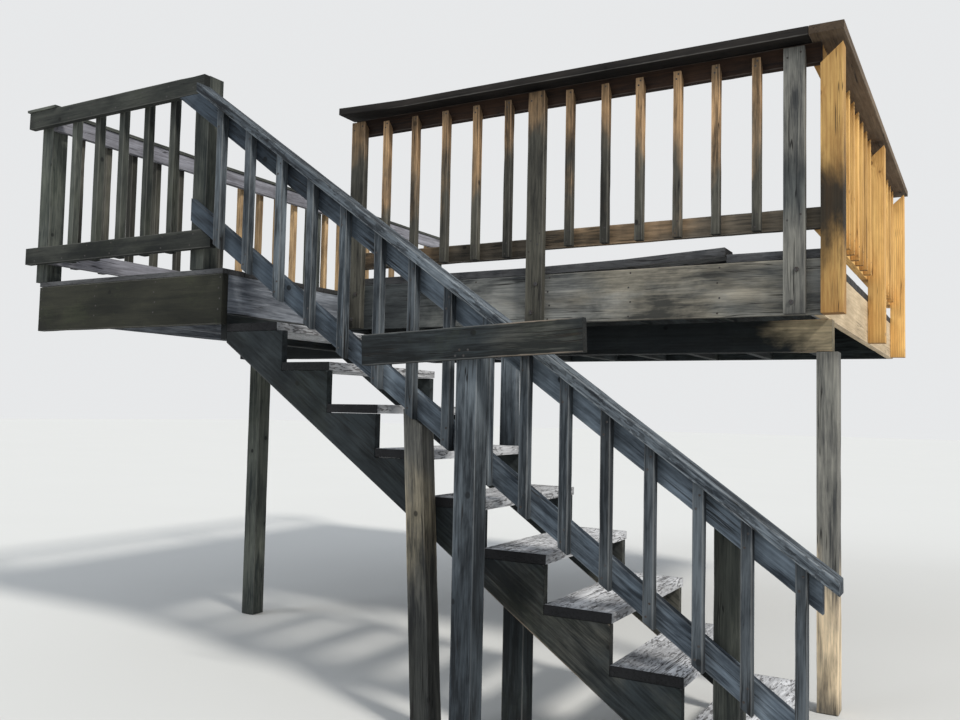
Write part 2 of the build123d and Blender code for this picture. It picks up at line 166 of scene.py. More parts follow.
# No edge is eased, and no face worn, by more than these shares of a board's least half size.
MOST_EASE = 0.35
MOST_WEAR = 0.3
# The most places where a board's edge wanders, and how far they shift from even spacing.
MOST_CUTS = 46
CUT_SHIFT = 0.3
# The noise of the wear: waves a metre along and across a board, and what a board's seed adds to it.
WEAR_ALONG, WEAR_ACROSS = 6.0, 22.0
SEED_ALONG, SEED_THROUGH = 53.0, 17.0
LEAST_WEAR = 0.25
# Dents are finer than the wear, keep near the edges, and come where their noise is over the start.
DENT_FINENESS = 4.1
DENT_SHIFT = Vector((9.0, 3.0, 5.0))
DENT_ZONE = 2.2
DENT_START = 0.18
DENT_GAIN = 1.2

boards = {}
surfaces = {}


def add_object(name, data):
    """An object in the scene, with its data."""
    item = bpy.data.objects.new(name, data)
    bpy.context.scene.collection.objects.link(item)
    return item


def loose_shells(mesh):
    """Splits a CAD node's mesh into its closed shells, with flat faces joined up."""
    whole = bmesh.new()
    whole.from_mesh(mesh)
    bmesh.ops.remove_doubles(whole, verts=whole.verts[:], dist=MERGE_GAP)
    whole.verts.index_update()
    seen = set()
    shells = []
    for start in whole.verts:
        if start.index in seen:
            continue
        stack = [start]
        seen.add(start.index)
        group = []
        while stack:
            vert = stack.pop()
            group.append(vert)
            for edge in vert.link_edges:
                other = edge.other_vert(vert)
                if other.index not in seen:
                    seen.add(other.index)
                    stack.append(other)
        shell = bmesh.new()
        made = {vert.index: shell.verts.new(vert.co) for vert in group}
        faces = {face for vert in group for face in vert.link_faces}
        for face in sorted(faces, key=lambda f: f.index):
            shell.faces.new([made[vert.index] for vert in face.verts])
        shell.normal_update()
        bmesh.ops.dissolve_limit(shell, angle_limit=FLAT_ANGLE, verts=shell.verts[:], edges=shell.edges[:])
        shell.normal_update()
        shells.append(shell)
    whole.free()
    return shells


def box_corners(points):
    """The lowest and highest corners of the box round some points."""
    return [Vector([pick(point[i] for point in points) for i in range(3)]) for pick in (min, max)]


def face_forward(direction):
    """Turns a direction round where its main part is negative."""
    if direction[max(range(3), key=lambda i: abs(direction[i]))] < 0:
        direction.negate()


def board_axes(shell):
    """The directions along, across and through a board: its longest sharp edge, and its widest face."""
    sharp = [e for e in shell.edges if len(e.link_faces) == 2 and e.calc_face_angle(0.0) > SAWN_ANGLE]
    longest = max(sharp, key=lambda e: round(e.calc_length(), 5))
    along = (longest.verts[1].co - longest.verts[0].co).normalized()
    face_forward(along)
    sides = [f for f in shell.faces if abs(f.normal.dot(along)) < SIDE_LEAN]
    widest = max(sides, key=lambda f: round(f.calc_area(), 6))
    through = (widest.normal - along * widest.normal.dot(along)).normalized()
    face_forward(through)
    return along, through.cross(along).normalized(), through


def wear_depth(local, half, seed, sizes):
    """How far a point of a board is worn: slow hollows all over, and knocks near the long edges."""
    sample = Vector((local.x * WEAR_ALONG + seed * SEED_ALONG, local.y * WEAR_ACROSS,
                     local.z * WEAR_ACROSS + seed * SEED_THROUGH))
    slow = noise.noise(sample) * 0.5 + 0.5
    quick = noise.noise(sample * DENT_FINENESS + DENT_SHIFT)
    depth = sizes.wear * (LEAST_WEAR + (1.0 - LEAST_WEAR) * slow)
    if max(half.y - abs(local.y), half.z - abs(local.z)) < sizes.ease * DENT_ZONE:
        depth += sizes.dent * max(0.0, quick - DENT_START) * DENT_GAIN
    return min(depth, min(half) * MOST_WEAR)


def wear_board(shell, node, index, sizes):
    """Eases and wears one board, and keeps what its material and its nails need to know of it."""
    along, across, through = board_axes(shell)
    turn = Matrix((along, across, through))
    low, high = box_corners([turn @ vert.co for vert in shell.verts])
    half = (high - low) / 2
    middle = turn.transposed() @ ((high + low) / 2)
    lowest, highest = box_corners([vert.co for vert in shell.verts])
    boards.setdefault(node, []).append(
        {"middle": middle, "along": along, "half": half, "low": lowest, "high": highest})
    picker = random.Random(f"{node} {index} {sizes.seed}")
    seed = picker.random()
    sharp = [e for e in shell.edges
             if len(e.link_faces) == 2 and e.is_convex and e.calc_face_angle(0.0) > EASED_ANGLE]
    bmesh.ops.bevel(shell, geom=sharp, offset=min(sizes.ease, min(half) * MOST_EASE), offset_type="OFFSET",
                    segments=2, profile=0.6, affect="EDGES", clamp_overlap=True)
    count = max(2, min(MOST_CUTS, int(2 * half.x / sizes.cut_length)))
    step = 2 * half.x / count
    for i in range(1, count):
        place = middle + along * (-half.x + step * (i + picker.uniform(-CUT_SHIFT, CUT_SHIFT)))
        geometry = shell.verts[:] + shell.edges[:] + shell.faces[:]
        bmesh.ops.bisect_plane(shell, geom=geometry, dist=CUT_GAP, plane_co=place, plane_no=along)
    shell.normal_update()
    place_layer = shell.verts.layers.float_vector.new("board_place")
    half_layer = shell.verts.layers.float_vector.new("board_half")
    seed_layer = shell.verts.layers.float.new("board_seed")
    moves = []
    for vert in shell.verts:
        local = turn @ (vert.co - middle)
        vert[place_layer] = local
        vert[half_layer] = half
        vert[seed_layer] = seed
        moves.append((vert, vert.normal * -wear_depth(local, half, seed, sizes)))
    for vert, move in moves:
        vert.co += move


def dress_node(node, slot, first, second=None, split=None):
    """Replaces a CAD node by its worn boards. Those past the split, an axis and a place on it, take the
    second finish."""
    sizes = bpy.context.scene.deck_timber
    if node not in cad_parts:
        raise RuntimeError("the packed model has no node " + node)
    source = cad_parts[node]
    joined = bmesh.new()
    for index, shell in enumerate(loose_shells(source.data)):
        wear_board(shell, node, index, sizes)
        past = split is not None and getattr(boards[node][-1]["middle"], split[0]) > split[1]
        for face in shell.faces:
            face.material_index = int(past)
        part = bpy.data.meshes.new("board")
        shell.to_mesh(part)
        shell.free()
        joined.from_mesh(part)
        bpy.data.meshes.remove(part)
    mesh = bpy.data.meshes.new(node + "_timber")
    joined.to_mesh(mesh)
    joined.free()
    mesh.shade_smooth()
    mesh.set_sharp_from_angle(angle=SMOOTH_ANGLE)
    faces = [tuple(polygon.vertices) for polygon in mesh.polygons]
    surfaces[node] = BVHTree.FromPolygons([vertex.co for vertex in mesh.vertices], faces)
    piece = add_object(node + "_timber", mesh)
    for name in (first, second) if second else (first,):
        mesh.materials.append(finish(name))
    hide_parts(node)
    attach(piece, "root")


# Material groups

# Noise fields of the grain: waves a metre along and across a board, then detail, roughness and bend.
FIELDS = {
    "fibre": (7.0, 120.0, 6.0, 0.66, 0.5),
    "band": (2.2, 27.0, 5.0, 0.62, 0.7),
    "broad": (2.0, 5.0, 5.0, 0.62, 0.5),
    "crack": (1.3, 46.0, 2.0, 0.45, 0.2),
    "crack place": (2.2, 9.0, 2.0, 0.55, 0.0),
    "stain": (1.7, 7.0, 5.0, 0.62, 0.4),
    "pit": (26.0, 105.0, 3.0, 0.6, 0.0),
    "pit place": (7.0, 14.0, 2.0, 0.55, 0.0),
    "ragged": (22.0, 60.0, 3.0, 0.55, 0.0),
    "stripped": (2.4, 6.0, 5.0, 0.6, 0.4),
}
# Where each mark starts and ends: a value of its noise, or metres from a board's edge or end. The foot's are
# shares of half a board's length.
SPANS = {
    "knot": (0.060, 0.095), "halo": (0.07, 0.30), "ring": (0.45, 0.98),
    "crack": (0.004, 0.020), "crack place": (0.50, 0.60), "stain": (0.50, 0.66),
    "pit": (0.415, 0.475), "pit place": (0.34, 0.50),
    "worn edge": (-0.001, 0.003), "end cut": (0.0008, 0.0022), "damp end": (0.02, 0.10),
    "border": (0.002, 0.006), "foot": (-0.8, 0.0),
    "streak": (0.48, 0.72), "film": (0.50, 0.66), "stripped": (0.36, 0.72),
    "rust": (0.42, 0.60), "steel": (0.2, 0.9), "full": (0.0, 1.0),
}
RISE, FALL = (0.0, 1.0), (1.0, 0.0)
# How strongly each mark tints what is under it.
STRENGTHS = {
    "ring": 0.5, "stain": 0.75, "halo": 0.30, "knot": 0.85, "worn edge": 0.40, "damp end": 0.40,
    "end cut": 0.55, "pit": 0.85, "check": 0.90, "streak": 0.55, "film": 0.6,
}
# How far each part of the grain stands out, as shares of the bump's distance.
HEIGHTS = {"fibre": 0.55, "ring": 0.22, "check": 1.5, "pit": 1.1, "knot": 0.3}
# What a board's seed adds to the place of its grain, and to that of its stripped patches.
GRAIN_SHIFT = (37.0, 11.3, 23.7)
PATCH_SHIFT = (23.0, 7.7, 3.1)
TONE_SHIFT = 7.31
# Knots: how many there could be in a metre, and how far the rings bend round one.
KNOT_CELLS = (6.0, 7.0, 7.0)
KNOT_BEND = 0.012
# Growth rings: where the tree's heart lies from the board, and how the trunk leans and stretches.
HEART_PLACE = (0.0, 0.08, 0.15)
HEART_LEAST = 0.2
TRUNK_LEAN = 0.014
TRUNK_STRETCH = 0.045
BAND_SHARE = 1.1
RAGGED_EDGE = 0.007
RAGGED_END = 0.05
RAGGED_FOOT = 0.8
WORN_SHARE = 0.25
PATCH_GATHER = 0.45
ROUGH_LEAST, ROUGH_RANGE = 0.78, 0.18
DEEP_TINT = (0.45, 0.43, 0.42, 1.0)
WORN_TINT = (0.60, 0.58, 0.54, 1.0)
# The tint of the painted shade on a board's sides and ends.
BORDER_TINT = (0.04, 0.04, 0.043, 1.0)
# The bluish tint of the painted shade towards a board's foot.
FOOT_SHADE_TINT = (0.24, 0.27, 0.30, 1.0)
CHECK_COLOUR = (0.008, 0.0075, 0.007, 1.0)
# Rain streaks run down the faces. The green film is a cloud with specks in it.
STREAK_STRETCH = (13.0, 13.0, 1.2)
SPECK_SHARE = 0.35


def new_group(name, inputs, outputs):
    """A shader node group with named sockets."""
    tree = bpy.data.node_groups.new(name, "ShaderNodeTree")
    for label, kind, default in inputs:
        socket = tree.interface.new_socket(name=label, in_out="INPUT", socket_type="NodeSocket" + kind)
        if default is not None:
            socket.default_value = default
    for label, kind in outputs:
        tree.interface.new_socket(name=label, in_out="OUTPUT", socket_type="NodeSocket" + kind)
    start = tree.nodes.new("NodeGroupInput")
    end = tree.nodes.new("NodeGroupOutput")
    return Wiring(tree), start.outputs, end.inputs


class Wiring:
    """Short ways to add and link shader nodes in one tree."""

    def __init__(self, tree):
        self.tree = tree

    def put(self, socket, value):
        if value is None:
            return
        if isinstance(value, bpy.types.NodeSocket):
            self.tree.links.new(value, socket)
        else:
            socket.default_value = value

    def node(self, kind, *values, **named):
        """A node with its first inputs filled in order, and others by name."""
        node = self.tree.nodes.new("ShaderNode" + kind)
        for socket, value in zip(node.inputs, values):
            self.put(socket, value)
        for label, value in named.items():
            self.put(node.inputs[label.capitalize()], value)
        return node

    def math(self, operation, a, b=None, clamp=False):
        node = self.node("Math", a, b)
        node.operation = operation
        node.use_clamp = clamp
        return node.outputs[0]

    def plus(self, a, b):
        return self.math("ADD", a, b)

    def minus(self, a, b):
        return self.math("SUBTRACT", a, b)

    def times(self, a, b):
        return self.math("MULTIPLY", a, b)

    def vector(self, operation, a, b=None, scale=None):
        node = self.node("VectorMath", a, b)
        node.operation = operation
        if scale is not None:
            self.put(node.inputs["Scale"], scale)
        return node.outputs["Vector"]

    def split(self, value):
        return self.node("SeparateXYZ", value).outputs

    def noise(self, vector, scale, detail, rough, bend=0.0):
        named = {"vector": vector, "scale": scale, "detail": detail, "roughness": rough, "distortion": bend}
        return self.node("TexNoise", **named).outputs[0]

    def field(self, name, place):
        """A noise field of the grain, stretched along the board."""
        along, across, detail, rough, bend = FIELDS[name]
        return self.noise(self.vector("MULTIPLY", place, (along, across, across)), 1.0, detail, rough, bend)

    def ramp(self, value, name, results=RISE):
        """A smooth step over a named span."""
        node = self.node("MapRange", value, *SPANS[name], *results)
        node.interpolation_type = "SMOOTHSTEP"
        node.clamp = True
        return node.outputs[0]

    def mix(self, factor, a, b, blend="MIX"):
        node = self.node("Mix", factor)
        node.data_type = "RGBA"
        node.blend_type = blend
        colours = [socket for socket in node.inputs if socket.type == "RGBA"]
        self.put(colours[0], a)
        self.put(colours[1], b)
        return [socket for socket in node.outputs if socket.type == "RGBA"][0]


BOARD_INPUTS = (("Place", "Vector", None), ("Half", "Vector", None), ("Seed", "Float", 0.5))


def board_grain_group():
    """Weathered grain of one board: fibres, rings, knots, stains, checks, pits, worn edges and damp ends."""
    w, given, out = new_group("Board grain", BOARD_INPUTS + (
        ("Light", "Color", (0.3, 0.3, 0.3, 1.0)), ("Dark", "Color", (0.05, 0.05, 0.05, 1.0)),
        ("Fibre", "Float", 1.5), ("Rings", "Float", 0.5), ("Knots", "Float", 1.0), ("Checks", "Float", 1.0),
        ("Edge wear", "Float", 0.6), ("Variation", "Float", 0.35), ("Stains", "Float", 0.4),
        ("Pits", "Float", 0.0), ("Blotches", "Float", 2.0), ("Dark sides", "Float", 0.0),
        ("Dark ends", "Float", 0.0), ("Damp foot", "Float", 0.0), ("Foot end", "Float", 0.4),
    ), (("Color", "Color"), ("Height", "Float"), ("Roughness", "Float")))
    spot, half, seed, light, dark = (given[name] for name in ("Place", "Half", "Seed", "Light", "Dark"))
    place = w.vector("ADD", spot, w.vector("SCALE", GRAIN_SHIFT, scale=seed))
    fibre, band, broad = (w.field(name, place) for name in ("fibre", "band", "broad"))
    cells = w.node("TexVoronoi", vector=w.vector("MULTIPLY", place, KNOT_CELLS), scale=1.0)
    cells = cells.outputs["Distance"]
    knot = w.times(w.ramp(cells, "knot", FALL), given["Knots"])
    halo = w.times(w.ramp(cells, "halo", FALL), given["Knots"])

    heart = w.vector("SCALE", HEART_PLACE, scale=w.plus(seed, HEART_LEAST))
    heart = w.split(w.vector("ADD", spot, heart))
    lean = w.times(w.minus(seed, 0.5), TRUNK_LEAN)
    across = w.plus(heart[1], w.times(halo, KNOT_BEND))
    through = w.plus(heart[2], w.times(w.split(spot)[0], lean))
    trunk = w.node("CombineXYZ", w.times(w.split(place)[0], TRUNK_STRETCH), across, through).outputs[0]
    wave = w.node("TexWave", vector=trunk, scale=30.0, distortion=1.3, detail=2.0)
    wave.wave_type = "RINGS"
    wave.rings_direction = "X"
    ring = wave.outputs["Fac"]

    crack = w.ramp(w.math("ABSOLUTE", w.minus(w.field("crack", place), 0.5)), "crack", FALL)
    crack = w.times(crack, w.ramp(w.field("crack place", place), "crack place"))
    check = w.times(crack, given["Checks"])
    stain = w.times(w.ramp(w.field("stain", place), "stain"), given["Stains"])
    pit = w.ramp(w.field("pit", place), "pit", FALL)
    pit = w.times(w.times(pit, w.ramp(w.field("pit place", place), "pit place")), given["Pits"])
    inside = w.split(w.vector("SUBTRACT", half, w.vector("ABSOLUTE", spot)))
    edge = w.minus(w.math("MAXIMUM", inside[1], inside[2]), w.times(w.field("ragged", place), RAGGED_EDGE))
    edge = w.times(w.ramp(edge, "worn edge", FALL), given["Edge wear"])
    end_cut = w.ramp(inside[0], "end cut", FALL)
    damp_end = w.ramp(w.plus(inside[0], w.times(broad, RAGGED_END)), "damp end", FALL)

    streaks = w.plus(w.minus(fibre, 0.5), w.times(w.minus(band, 0.5), BAND_SHARE))
    tone = w.plus(0.5, w.times(streaks, given["Fibre"]))
    tone = w.math("ADD", tone, w.times(w.minus(broad, 0.5), given["Blotches"]), clamp=True)
    base = w.mix(tone, dark, light)
    ring_line = w.times(w.ramp(ring, "ring"), given["Rings"])
    base = w.mix(w.times(ring_line, STRENGTHS["ring"]), base, dark)
    own = w.times(w.minus(w.math("FRACT", w.times(seed, TONE_SHIFT)), 0.5), given["Variation"])
    gain = w.plus(1.0, w.times(own, 2.0))
    base = w.mix(1.0, base, w.node("CombineColor", gain, gain, gain).outputs[0], "MULTIPLY")
    deep = w.mix(1.0, dark, DEEP_TINT, "MULTIPLY")
    worn = w.mix(WORN_SHARE, light, WORN_TINT)
    for name, mask, tint in (
        ("stain", stain, deep), ("halo", halo, dark), ("knot", knot, deep), ("worn edge", edge, worn),
        ("damp end", damp_end, dark), ("end cut", end_cut, deep), ("pit", pit, deep),
    ):
        base = w.mix(w.times(mask, STRENGTHS[name]), base, tint)
    # Painted shade: the long sides and the ends darkened within a few millimetres, as in the shaded gaps
    # between boards and on the treads' shaded ends.
    side = w.times(w.ramp(inside[1], "border", FALL), given["Dark sides"])
    side = w.math("MAXIMUM", side, w.times(w.ramp(inside[0], "border", FALL), given["Dark ends"]))
    base = w.mix(side, base, w.mix(1.0, dark, BORDER_TINT, "MULTIPLY"))
    # Painted shade: darker and bluer towards the start of the board's length, the low end of a post, where it
    # stands in the shade.
    share = w.math("DIVIDE", w.split(spot)[0], w.split(half)[0])
    share = w.plus(share, w.times(w.minus(broad, 0.5), RAGGED_FOOT))
    foot = w.times(w.ramp(w.minus(share, given["Foot end"]), "foot", FALL), given["Damp foot"])
    base = w.mix(foot, base, w.mix(1.0, base, FOOT_SHADE_TINT, "MULTIPLY"))
    base = w.mix(w.times(check, STRENGTHS["check"]), base, CHECK_COLOUR)

    height = w.times(ring, w.times(given["Rings"], HEIGHTS["ring"]))
    height = w.plus(w.times(fibre, HEIGHTS["fibre"]), height)
    height = w.minus(height, w.times(check, HEIGHTS["check"]))
    height = w.minus(height, w.times(pit, HEIGHTS["pit"]))
    height = w.plus(height, w.times(knot, HEIGHTS["knot"]))
    w.put(out["Color"], base)
    w.put(out["Height"], height)
    w.put(out["Roughness"], w.plus(ROUGH_LEAST, w.times(fibre, ROUGH_RANGE)))
    return w.tree


def weather_film_group():
    """Rain streaks and green film that lie over whole faces, whatever board they are on."""
    w, given, out = new_group("Weather film", (
        ("Place", "Vector", None), ("Streaks", "Float", 0.5), ("Film", "Float", 0.3),
    ), (("Streak", "Float"), ("Green", "Float")))
    place = given["Place"]
    run = w.noise(w.vector("MULTIPLY", place, STREAK_STRETCH), scale=1.0, detail=4.0, rough=0.6, bend=0.2)
    cloud = w.noise(place, scale=2.6, detail=4.0, rough=0.6, bend=0.3)
    speck = w.minus(w.noise(place, scale=46.0, detail=3.0, rough=0.6), 0.5)
    speck = w.times(speck, SPECK_SHARE)
    w.put(out["Streak"], w.times(w.ramp(run, "streak"), given["Streaks"]))
    w.put(out["Green"], w.times(w.ramp(w.plus(cloud, speck), "film"), given["Film"]))
    return w.tree


def light_and_stripped_group():
    """Where a board's grey has been stripped or darkened: soft patches, gathered towards a place on it."""
    w, given, out = new_group("Stripped patches", BOARD_INPUTS + (
        ("Centre", "Float", 1.0), ("Reach", "Float", 1.0), ("Amount", "Float", 0.5),
    ), (("Mask", "Float"),))
    spot = given["Place"]
    place = w.vector("ADD", spot, w.vector("SCALE", PATCH_SHIFT, scale=given["Seed"]))
    share = w.math("DIVIDE", w.split(spot)[0], w.split(given["Half"])[0])
    off = w.math("DIVIDE", w.math("ABSOLUTE", w.minus(share, given["Centre"])), given["Reach"])
    level = w.plus(w.field("stripped", place), w.times(w.minus(0.5, off), PATCH_GATHER))
    w.put(out["Mask"], w.times(w.ramp(level, "stripped"), given["Amount"]))
    return w.tree


# Materials

METAL_SHINE = (0.0, 0.15)
STEEL_SMOOTHER = 0.12
makers = {"grain": board_grain_group, "film": weather_film_group, "stripped": light_and_stripped_group}
groups = {}


def new_material(name):
    """An empty material, with its wiring and its shader's inputs."""
    material = bpy.data.materials.new(name)
    material.use_nodes = True
    w = Wiring(material.node_tree)
    return material, w, w.tree.nodes["Principled BSDF"].inputs


def add_bump(w, shader, strength, distance, height):
    """Gives a shader its surface from a height."""
    bump = w.node("Bump", strength=strength, distance=distance, height=height)
    w.put(shader["Normal"], bump.outputs["Normal"])


def timber_material(name, light, dark, patch=None, streaks=0.2, film=0.0, bump=0.5, **grain_values):
    """Weathered timber in one finish."""
    if not groups:
        groups.update({key: make() for key, make in makers.items()})
    material, w, shader = new_material(name)
    shader["Specular IOR Level"].default_value = 0.28

    def stored(label, output):
        node = w.node("Attribute")
        node.attribute_name = label
        return node.outputs[output]

    def placed(key, values):
        node = w.node("Group")
        node.node_tree = groups[key]
        for label, value in values.items():
            w.put(node.inputs[label], value)
        return node.outputs

    board = {"Place": stored("board_place", "Vector"), "Half": stored("board_half", "Vector"),
             "Seed": stored("board_seed", "Fac")}
    pale, deep = (*light, 1.0), (*dark, 1.0)
    values = {label.replace("_", " ").capitalize(): value for label, value in grain_values.items()}
    grain = placed("grain", {**board, "Light": pale, "Dark": deep, **values})
    spot = w.node("TexCoord").outputs["Object"]
    film_out = placed("film", {"Place": spot, "Streaks": streaks, "Film": film})
    base = grain["Color"]
    # The patch, in most finishes painted sunlight and painted shadow, tinted by its colour.
    if patch is not None:
        tint, centre, reach, amount = patch
        mask = placed("stripped", {**board, "Centre": centre, "Reach": reach, "Amount": amount})["Mask"]
        tinted = w.mix(1.0, base, (*tint, 1.0), "MULTIPLY")
        base = w.mix(mask, base, w.mix(1.0, tinted, w.mix(0.5, pale, deep), "DIVIDE"))
    base = w.mix(w.times(film_out["Streak"], STRENGTHS["streak"]), base, deep)
    moss = (*bpy.context.scene.deck_colours.moss, 1.0)
    base = w.mix(w.times(film_out["Green"], STRENGTHS["film"]), base, moss)
    w.put(shader["Base Color"], base)
    w.put(shader["Roughness"], grain["Roughness"])
    add_bump(w, shader, strength=bump, distance=0.0035, height=grain["Height"])
    return material


# Each finish: whose colours it takes where it isn't named for them, how light it is, and how its grain and
# weathering depart from the usual. A patch is a colour, its centre and reach as shares of half the board's
# length, and its amount.
FINISHES = {
    # The front rim's pale patches are painted sunlight, and its darker left end painted shade.
    "rim": dict(fibre=1.0, rings=0.2, checks=0.9, stains=0.6, blotches=3.0, film=0.1,
                patch=("painted_sun_pale", 0.5, 0.8, 0.45), damp_foot=1.0, foot_end=0.05),
    "flank": dict(fibre=1.0, rings=0.6, checks=0.5, stains=0.25, knots=0.6),
    "slate": dict(fibre=2.0, checks=1.6, dark_sides=0.5),
    "fascia": dict(fibre=1.2, rings=0.15, checks=0.35, streaks=0.25, film=0.25),
    "landing": dict(fibre=1.8, blotches=2.5, rings=0.25, checks=0.9, streaks=0.3, film=0.15, edge_wear=0.5),
    "pale": dict(rings=0.3, checks=0.9),
    "tan": dict(rings=0.4, checks=0.6, variation=0.45),
    "dun": dict(colours="post", level=0.8, rings=0.4, checks=0.6, stains=0.6, streaks=0.3, film=0.1,
                variation=0.45),
    # The warm patches at the tops of the front posts and balusters, and along the lower front rails, are
    # painted sunlight.
    "post": dict(fibre=1.8, rings=0.25, stains=0.5, patch=("painted_sun_warm", 1.0, 0.8, 0.8)),
    "spindle": dict(colours="post", fibre=1.8, rings=0.25, stains=0.5, patch=("painted_sun_warm", 0.8, 1.5, 0.9)),
    # The right front post's dark middle band is a painted shadow.
    "ash": dict(colours="prop", level=1.45, fibre=1.8, rings=0.25, streaks=0.1,
                patch=("shade_light", -0.03, 0.42, 0.72)),
    "rail": dict(fibre=1.8, rings=0.3, checks=0.8, patch=("painted_sun_warm", -0.4, 1.0, 0.40)),
    "umber": dict(rings=0.3, checks=0.6, stains=0.5),
    "cap": dict(rings=0.2, checks=0.9, streaks=0.0, edge_wear=1.0),
    "bark": dict(rings=0.4, checks=0.8, streaks=0.1, edge_wear=1.0),
    "honey": dict(fibre=1.1, rings=0.8, checks=0.6, stains=0.2, knots=0.9, edge_wear=0.2, variation=0.22,
                  blotches=1.2),
    # The corner post's dark band is a painted leaf shadow.
    "corner": dict(colours="honey", fibre=1.2, rings=0.6, checks=0.8, stains=0.25, streaks=0.1, edge_wear=0.2,
                   patch=("post_dark", -0.18, 0.70, 0.97)),
    # The treads' and boards' dark sides and ends are painted shade.
    "tread": dict(fibre=1.4, rings=0.25, checks=0.9, stains=0.3, streaks=0.0, pits=1.0, bump=0.9,
                  dark_sides=0.15, dark_ends=1.0),
    "board": dict(colours="tread", level=0.6, rings=0.3, stains=0.25, streaks=0.0, film=0.1, pits=0.5,
                  variation=0.18, blotches=1.3, dark_sides=0.8, dark_ends=0.8),
    "shade": dict(fibre=3.0, blotches=3.4, rings=0.2, film=0.15, edge_wear=0.8),
    # The stringers take the painted shade colours, with a painted dapple of sunlight.
    "stringer": dict(colours="shade", level=1.15, fibre=2.4, blotches=3.6, rings=0.15, checks=0.7, stains=0.6,
                     film=0.1, patch=("post_light", 0.42, 0.35, 0.6)),
    "ridge": dict(fibre=3.0, rings=0.15, stains=0.3, streaks=0.0, pits=0.7, edge_wear=1.0, bump=0.9,
                  damp_foot=0.55, foot_end=0.1),
    "railing": dict(level=1.25, fibre=1.7, rings=0.2, checks=0.9, stains=0.5, blotches=2.8, damp_foot=0.9,
                    foot_end=0.2),
    # The lower stair balusters are a shaded copy of the upper ones: painted shade.
    "picket": dict(level=0.52, fibre=2.2, rings=0.2, stains=0.5, edge_wear=0.8, blotches=2.6),
    "slat": dict(colours="picket", level=0.80, fibre=2.2, rings=0.2, stains=0.5, edge_wear=0.8, blotches=2.6),
    # The brace post's pale patch is painted sunlight.
    "prop": dict(level=0.9, fibre=2.0, rings=0.25, stains=0.5, streaks=0.3, film=0.05,
                 patch=("painted_sun_pale", 0.3, 0.5, 0.4), damp_foot=0.75, foot_end=0.3),
    # The right beam post is a lit copy with painted sunlight on its lower part.
    "leg": dict(colours="prop", level=1.9, fibre=1.8, rings=0.25, streaks=0.3, film=0.05,
                patch=("flank_light", -0.8, 1.0, 0.85)),
    # The beam is painted shade, half as light as the shade colours, with painted sunlight on its right end.
    "beam": dict(colours="shade", level=0.5, fibre=1.0, checks=0.5, stains=0.5, film=0.05, edge_wear=0.1,
                 patch=("painted_sun_pale", 1.0, 0.16, 1.0)),
    # The landing rails are darkened as painted shade.
    "sable": dict(colours="landing", level=0.42, rings=0.2, checks=0.7, film=0.1, blotches=3.0),
    "upright": dict(colours="picket", fibre=2.4, rings=0.2, edge_wear=0.8, blotches=3.0, damp_foot=0.8,
                    foot_end=0.5),
    "crossing": dict(colours="shade", fibre=3.0, blotches=3.4, rings=0.2, checks=1.3, film=0.15,
                     edge_wear=1.0, patch=("post_light", 0.6, 0.6, 0.30), bump=0.8),
}
finishes = {}


def finish(name):
    """The named timber finish, made the first time that it is asked for."""
    if name not in finishes:
        values = dict(FINISHES[name])
        colours = bpy.context.scene.deck_colours
        key = values.pop("colours", name)
        level = values.pop("level", 1.0)
        light, dark = ([level * part for part in getattr(colours, key + end)] for end in ("_light", "_dark"))
        if "patch" in values:
            tint, *where = values["patch"]
            values["patch"] = (getattr(colours, tint), *where)
        finishes[name] = timber_material(name + "_timber", light, dark, **values)
    return finishes[name]


def metal_material(name, base, other, rough):
    """Nail and lag screw steel, rusted in patches."""
    material, w, shader = new_material(name)
    spot = w.node("TexCoord").outputs["Object"]
    patch = w.ramp(w.noise(spot, scale=140.0, detail=4.0, rough=0.6), "rust")
    w.put(shader["Base Color"], w.mix(patch, (*base, 1.0), (*other, 1.0)))
    w.put(shader["Metallic"], w.ramp(patch, "steel", METAL_SHINE))
    w.put(shader["Roughness"], w.ramp(patch, "full", (rough, rough - STEEL_SMOOTHER)))
    height = w.noise(spot, scale=900.0, detail=3.0, rough=0.6)
    add_bump(w, shader, strength=0.4, distance=0.0004, height=height)
    return material


# Fixings. Distances are in metres.

UP, OUT, RIGHT = (0.0, 0.0, 1.0), (0.0, -1.0, 0.0), (1.0, 0.0, 0.0)
# How far out of its place a head's face is looked for.
SEARCH = 0.12
# A face that is further in than this, and still faces the same way, belongs to a curled board.
CURL_GAP = 0.006
SAME_WAY = 0.8
# Boards touch within this gap, and are nailed where they share at least this width.
TOUCHING = 0.004
LEAST_WIDTH = 0.015
# Nails keep this share of a narrow board clear, and step to and fro across it by the other.
MOST_INSET = 0.3
STAGGER = 0.12
# The two nails of a sloping rail: up and down and to the sides of where it crosses, clear of the ends.
SLOPE_UP, SLOPE_ASIDE = 0.022, 0.006
END_CLEAR = 0.01
# How far a nail's head stands out, and how deep a lag screw's sits in.
NAIL_PROUD = 0.00025
LAG_SUNK = 0.0008

fixings = {"nail": [], "lag": []}


def fix(kind, node, place, facing, flush=False):
    """Seats a nail or a lag screw on the worn face under it, and notes which way its head faces."""
    place, facing = Vector(place), Vector(facing)
    hit, normal, _, distance = surfaces[node].ray_cast(place + facing * SEARCH, -facing)
    if hit is None or distance > 2 * SEARCH:
        return
    curled = normal.dot(facing) > SAME_WAY and distance > SEARCH + CURL_GAP
    fixings[kind].append((hit, normal if curled else facing, flush))


